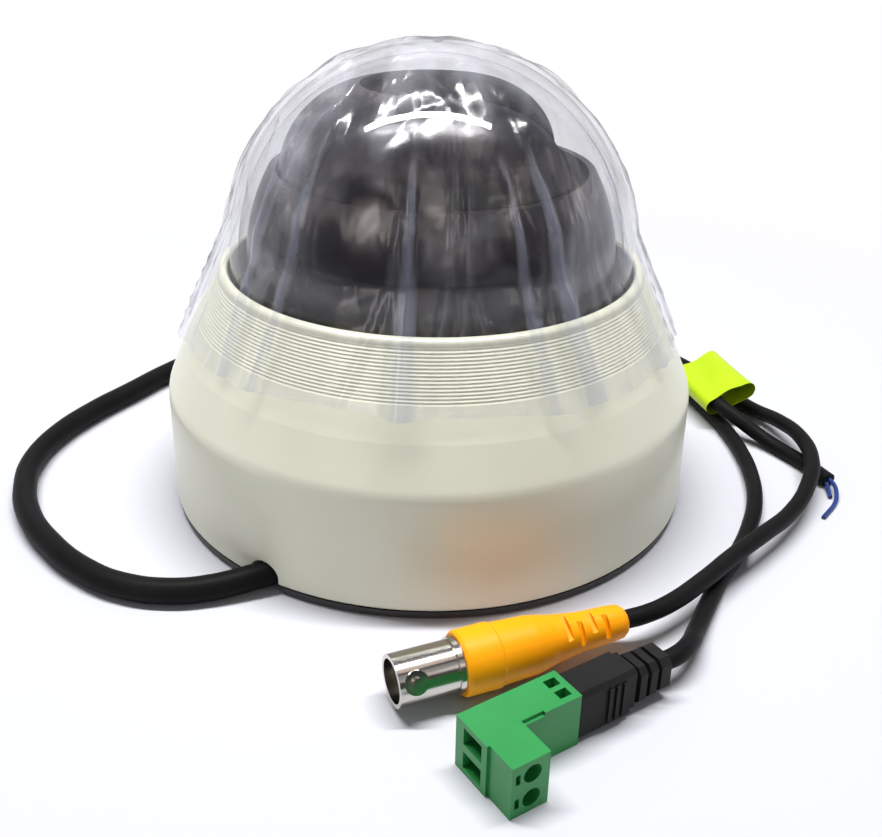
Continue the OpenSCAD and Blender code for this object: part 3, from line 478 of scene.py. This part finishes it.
# %% Cables, boots, terminal and label
wear(finish("black_jacket", (0.005, 0.0047, 0.005), (0.010, 0.0093, 0.010), (0.44, 0.56),
            grain=1500, depth=0.000015, shine=0.06),
     "cable_splitter", *cables.values())
wear(finish("black_rubber", (0.010, 0.010, 0.010), (0.018, 0.017, 0.017), (0.42, 0.58), shine=0.1),
     "dome_seal", "cable_gland", "power_boot")
wear(finish("blue_vinyl", (0.007, 0.024, 0.14), (0.013, 0.038, 0.2), (0.35, 0.5), shine=0.3), *wires)
wear(finish("yellow_boot", (0.90, 0.31, 0.001), (0.95, 0.37, 0.002), (0.36, 0.48),
            grain=1600, depth=0.000012, shine=0.2),
     "jack_boot")
wear(finish("green_plastic", (0.015, 0.205, 0.047), (0.023, 0.265, 0.064), (0.34, 0.46),
            grain=2600, shine=0.35),
     "terminal_block")
wear(finish("lime_paper", (0.36, 0.53, 0.003), (0.42, 0.58, 0.006), (0.3, 0.42),
            grain=3000, depth=0.000004, shine=0.3),
     label)
print("materials so far:", len(bpy.data.materials))

# %% [markdown]
# The boards inside are seen only with the cover off. Their lacquer has a finer blotch than a moulding.

# %% Boards, chips and white plastic
wear(finish("white_plastic", (0.78, 0.77, 0.72), (0.84, 0.83, 0.79), (0.35, 0.5)),
     "jack_insulator", "board_sockets")
wear(finish("chip_black", (0.014, 0.014, 0.016), (0.022, 0.022, 0.025), (0.45, 0.6)),
     "board_chips", "sensor_chip")
wear(finish("green_board", (0.006, 0.075, 0.03), (0.012, 0.12, 0.05), (0.25, 0.4), blotch=260, grain=900),
     "main_board", "sensor_board")
wear(finish("black_board", (0.008, 0.008, 0.01), (0.02, 0.02, 0.024), (0.3, 0.45), blotch=300, grain=900),
     "ir_board")
print("materials so far:", len(bpy.data.materials))

# %% [markdown]
# Plated metal gets its look from what it reflects, so its own colour is plain. Its gloss varies a little,
# and a very fine grain breaks the reflections up as tool marks do.

# %% Metal parts
wear(finish("bright_nickel", (0.45, 0.435, 0.40), (0.54, 0.525, 0.49), (0.12, 0.2), metal=1, depth=0.000002),
     "jack_shell", "terminal_clamps", "power_pins")
wear(finish("gilt_brass", (0.70, 0.47, 0.13), (0.80, 0.56, 0.19), (0.18, 0.3), metal=1, depth=0.000003),
     "jack_contact")
wear(finish("zinc_steel", (0.48, 0.48, 0.49), (0.60, 0.60, 0.61), (0.26, 0.4), metal=1, depth=0.000004),
     "terminal_screws", "chassis_screws", "board_screws", "dome_screws", "pan_screws", "yoke_screws",
     "trunnion_pins", "pan_retainer", "roll_clip")
print("materials so far:", len(bpy.data.materials))

# %% [markdown]
# Handled film is full of fine creases, too fine for the mesh. Ridged noise has sharp lines that run
# together as creases do. It is drawn out down the sides, and is stronger on the crown and in patches. It
# bends the reflections as a bump, and its highest lines turn a little milky: that milk is a painted
# highlight, standing in for the glints along the creases.

# %% Fine creases of the film
CREASE_DRAW = (1, 0.4, 0.35)
CREASE_DEPTH = 0.0015
CROWN_FROM, CROWN_TO = 0.058, 0.082  # heights between which the creases grow strong


def crease_bump_and_glint_lines(tree, place, under):
    """The creases as lines of haze, which are painted highlights, and as a bump on top of another normal."""
    drawn = add(tree, "Mapping", {"Vector": place, "Scale": CREASE_DRAW}).outputs["Vector"]
    web = add(tree, "TexNoise", noise_type="RIDGED_MULTIFRACTAL", inputs={
        "Vector": drawn, "Scale": 52, "Detail": 2, "Lacunarity": 2.3, "Offset": 0.9, "Gain": 2,
    }).outputs["Fac"]
    cloud = add(tree, "TexNoise", {"Vector": place, "Scale": 34}).outputs["Fac"]
    patch = add(tree, "MapRange", {"Value": cloud, "From Min": 0.4, "From Max": 0.62, "To Min": 0.15})
    height = add(tree, "SeparateXYZ", {"Vector": place}).outputs["Z"]
    crown = add(tree, "MapRange", {"Value": height, "From Min": CROWN_FROM, "From Max": CROWN_TO,
                                   "To Min": 0.1})
    strength = add(tree, "Math", {0: patch.outputs["Result"], 1: crown.outputs["Result"]},
                   operation="MULTIPLY").outputs["Value"]
    # Painted highlight: the highest crease lines become haze, in place of glints.
    thin = add(tree, "MapRange", {"Value": web, "From Min": 0.75, "From Max": 1.15}).outputs["Result"]
    glint_line = add(tree, "Math", {0: thin, 1: strength}, operation="MULTIPLY").outputs["Value"]
    ridge = add(tree, "Bump", {"Height": web, "Strength": strength, "Distance": CREASE_DEPTH,
                               "Normal": under}).outputs["Normal"]
    return glint_line, ridge


print("creases", CREASE_DEPTH * 1000, "mm deep at most")

# %% [markdown]
# Clear plastic is mostly what lies behind it, plus a reflection that grows toward the edges. Glass with
# real bending would need many light paths through thin sheets. A see-through shader mixed with gloss by
# Fresnel gives the same look, and lets light through to the black parts inside. Faces seen from behind
# get no gloss, because light isn't bent here and they would turn into mirrors. A little haze makes the
# film milky at its edges and in its folds.

# %% One recipe for clear plastic
SLATE = (0.42, 0.45, 0.58)  # colour of the haze where the film lies double


def more_haze(tree, amount, factor, haze):
    """Haze with some more of it where the amount is high."""
    return add(tree, "Math", {0: amount, 1: factor, 2: haze}, operation="MULTIPLY_ADD",
               use_clamp=True).outputs["Value"]


def clear(name, tint, haze, haze_at_edge, ior, rough, ripples=0.0, fold_and_hem_glint_haze=0.0, creases=0.0):
    """See-through plastic with haze from its middle to its edge, and gloss on its outside."""
    material = bpy.data.materials.new(name)
    material.use_nodes = True
    tree = material.node_tree
    tree.nodes.clear()
    place = add(tree, "TexCoord").outputs["Object"]
    ripple = add(tree, "TexNoise", {"Vector": place, "Scale": 90, "Detail": 3}).outputs["Fac"]
    normal = add(tree, "Bump", {"Height": ripple, "Distance": ripples}).outputs["Normal"]
    facing = add(tree, "LayerWeight", {"Blend": 0.3}).outputs["Facing"]
    milky = add(tree, "MapRange", {"Value": facing, "To Min": haze_at_edge[0],
                                   "To Max": haze_at_edge[1]}).outputs["Result"]
    milk_colour = (*haze, 1)
    # The attribute holds film lying double in folds and a painted highlight along the hem.
    if fold_and_hem_glint_haze:
        folds = add(tree, "Attribute", attribute_name="double_and_hem_glint").outputs["Fac"]
        milk_colour = colours(tree, folds, ((0.5, haze), (1, SLATE)))
        milky = more_haze(tree, folds, fold_and_hem_glint_haze, milky)
    # Painted highlight: haze along the crease lines stands in for glints.
    if creases:
        glint_line, normal = crease_bump_and_glint_lines(tree, place, normal)
        milky = more_haze(tree, glint_line, creases, milky)
    through = add(tree, "BsdfTransparent", {"Color": (*tint, 1)}).outputs["BSDF"]
    milk = add(tree, "BsdfDiffuse", {"Color": milk_colour}).outputs["BSDF"]
    gloss = add(tree, "BsdfGlossy", {"Roughness": rough, "Normal": normal}).outputs["BSDF"]
    mirror = add(tree, "Fresnel", {"IOR": ior, "Normal": normal}).outputs["Fac"]
    behind = add(tree, "NewGeometry").outputs["Backfacing"]
    outside = add(tree, "Math", {0: mirror, 1: behind}, operation="SUBTRACT", use_clamp=True)
    body = mixed(tree, milky, through, milk)
    whole = mixed(tree, outside.outputs["Value"], body, gloss)
    add(tree, "OutputMaterial", {"Surface": whole})
    return material


# %% Clear dome, film, lens and lamps
wear(clear("clear_dome", (0.98, 0.98, 0.985), (0.7, 0.7, 0.78), (0.0, 0.03), 1.52, 0.01), "clear_dome")
wear(clear("clear_film", (0.975, 0.975, 0.985), (0.74, 0.74, 0.84), (0.0, 0.14), 1.5, 0.17,
           ripples=0.0001, fold_and_hem_glint_haze=0.16, creases=0.22), film)
wear(clear("coated_glass", (0.30, 0.22, 0.36), (0.2, 0.1, 0.3), (0.0, 0.1), 1.6, 0.02), "front_lens")
wear(clear("lamp_plastic", (0.8, 0.8, 0.85), (0.75, 0.75, 0.8), (0.25, 0.5), 1.5, 0.05),
     "ir_lamps", "light_sensor")
print("all materials:", len(bpy.data.materials))

# %% [markdown]
# ## Floor
# The object stands on pale paper that is plain white away from it. A bright lamp could bleach the paper,
# but it would bleach the housing too. So the camera sees a darker, lavender paper near the object, where
# its shadow lies, and plain white farther off. That darker paper is painted shade round the object, on
# top of its real shadow. Light that bounces sees the same pale paper everywhere.

# %% Floor
FLOOR_HALF = 3
WHITE_FROM, WHITE_TO = 0.10, 0.30  # distances from the object's middle
mesh = bpy.data.meshes.new("pale_floor")
mesh.from_pydata([(-FLOOR_HALF, -FLOOR_HALF, 0), (FLOOR_HALF, -FLOOR_HALF, 0),
                  (FLOOR_HALF, FLOOR_HALF, 0), (-FLOOR_HALF, FLOOR_HALF, 0)], [], [(0, 1, 2, 3)])
floor = put("pale_floor", mesh)
paper = bpy.data.materials.new("pale_paper")
paper.use_nodes = True
tree = paper.node_tree
sheet = tree.nodes["Principled BSDF"]
sheet.inputs["Base Color"].default_value = (0.62, 0.62, 0.66, 1)
sheet.inputs["Roughness"].default_value = 0.8
# Painted shade: near the object the camera sees this darker, lavender paper, a soft ring of shade on top of
# the real shadow.
paper_with_painted_shade = add(tree, "BsdfDiffuse", {"Color": (0.54, 0.545, 0.585, 1)}).outputs["BSDF"]
place = add(tree, "TexCoord").outputs["Object"]
far = add(tree, "VectorMath", {0: place}, operation="LENGTH").outputs["Value"]
painted_shade_to_white = add(tree, "MapRange", {"Value": far, "From Min": WHITE_FROM, "From Max": WHITE_TO},
           interpolation_type="SMOOTHSTEP").outputs["Result"]
bright = add(tree, "Emission").outputs["Emission"]
backdrop = mixed(tree, painted_shade_to_white, paper_with_painted_shade, bright)
eye = add(tree, "LightPath").outputs["Is Camera Ray"]
ground = mixed(tree, eye, sheet.outputs["BSDF"], backdrop)
tree.links.new(ground, tree.nodes["Material Output"].inputs["Surface"])
floor.data.materials.append(paper)
print("floor:", 2 * FLOOR_HALF, "m wide, white from", WHITE_TO, "m")

# %% [markdown]
# ## Light
# A ceiling lamp lights the real object, and its reflection is the bright arc on the dome. A long strip
# straight above does the same here. A large weak lamp in front fills the shadows.

# %% Lamps
def softbox(name, size, energy, place, aim):
    """A rectangular area light that points at its aim."""
    lamp = bpy.data.lights.new(name, "AREA")
    lamp.shape = "RECTANGLE"
    lamp.size, lamp.size_y = size
    lamp.energy = energy
    box = put(name, lamp)
    box.location = place
    box.rotation_euler = (Vector(aim) - Vector(place)).to_track_quat("-Z", "Y").to_euler()
    return box


lamps = [
    softbox("overhead_strip", (0.95, 0.065), 18.5, (-0.05, 0.06, 1.0), (-0.05, 0.05, 0)),
    softbox("front_fill", (0.9, 0.7), 0.8, (0.5, -1.0, 0.9), (0, 0, 0.04)),
]
print("lamps:", [lamp.name for lamp in lamps])

# %% [markdown]
# The surroundings are white to the camera, and give a weak even light. Gloss sees something else: a sweep
# of white paper low down and behind, a dark room above and in front, and soft warm patches in it like
# lit walls and a window. One even colour would leave the metal flat and the dome grey. With the dark room
# the dome stays clear, and the metal gets its light and dark bands.

# %% What gloss sees
PAPER_SIDE = (0, -0.6, 0.8)  # points away from the paper
world = bpy.data.worlds.new("light_tent")
bpy.context.scene.world = world
world.use_nodes = True
tree = world.node_tree
tree.nodes.clear()
ray = add(tree, "TexCoord").outputs["Generated"]
sweep = add(tree, "VectorMath", {0: ray, 1: PAPER_SIDE}, operation="DOT_PRODUCT").outputs["Value"]
paper_and_dark = colours(tree, sweep, ((0.0, (0.55, 0.55, 0.58)), (0.3, (0.03, 0.026, 0.036))))
clouds = add(tree, "TexNoise", {"Vector": ray, "Scale": 2.6, "Detail": 1}).outputs["Fac"]
patches = colours(tree, clouds, ((0.52, (0, 0, 0)), (0.66, (1.15, 0.93, 0.82)), (0.7, (4, 3.7, 3.5))))
height = add(tree, "SeparateXYZ", {"Vector": ray}).outputs["Z"]
high_up = add(tree, "MapRange", {"Value": height, "From Min": 0.1, "From Max": 0.4}).outputs["Result"]
reflected = add(tree, "VectorMath", {0: patches, 1: high_up, 2: paper_and_dark},
                operation="MULTIPLY_ADD").outputs["Vector"]
room = add(tree, "Background", {"Color": reflected, "Strength": 1}).outputs["Background"]
print("nodes for gloss:", len(tree.nodes))

# %% What the camera sees, and the even light
white = add(tree, "Background", {"Color": (1, 1, 1, 1), "Strength": 1}).outputs["Background"]
tent = add(tree, "Background", {"Color": (0.97, 0.98, 1, 1), "Strength": 0.22}).outputs["Background"]
path = add(tree, "LightPath")
for rays, surroundings in (("Is Glossy Ray", room), ("Is Transmission Ray", white), ("Is Camera Ray", white)):
    tent = mixed(tree, path.outputs[rays], tent, surroundings)
add(tree, "OutputWorld", {"Surface": tent})
bpy.context.scene.view_settings.view_transform = "Standard"
print("nodes in the world:", len(tree.nodes))
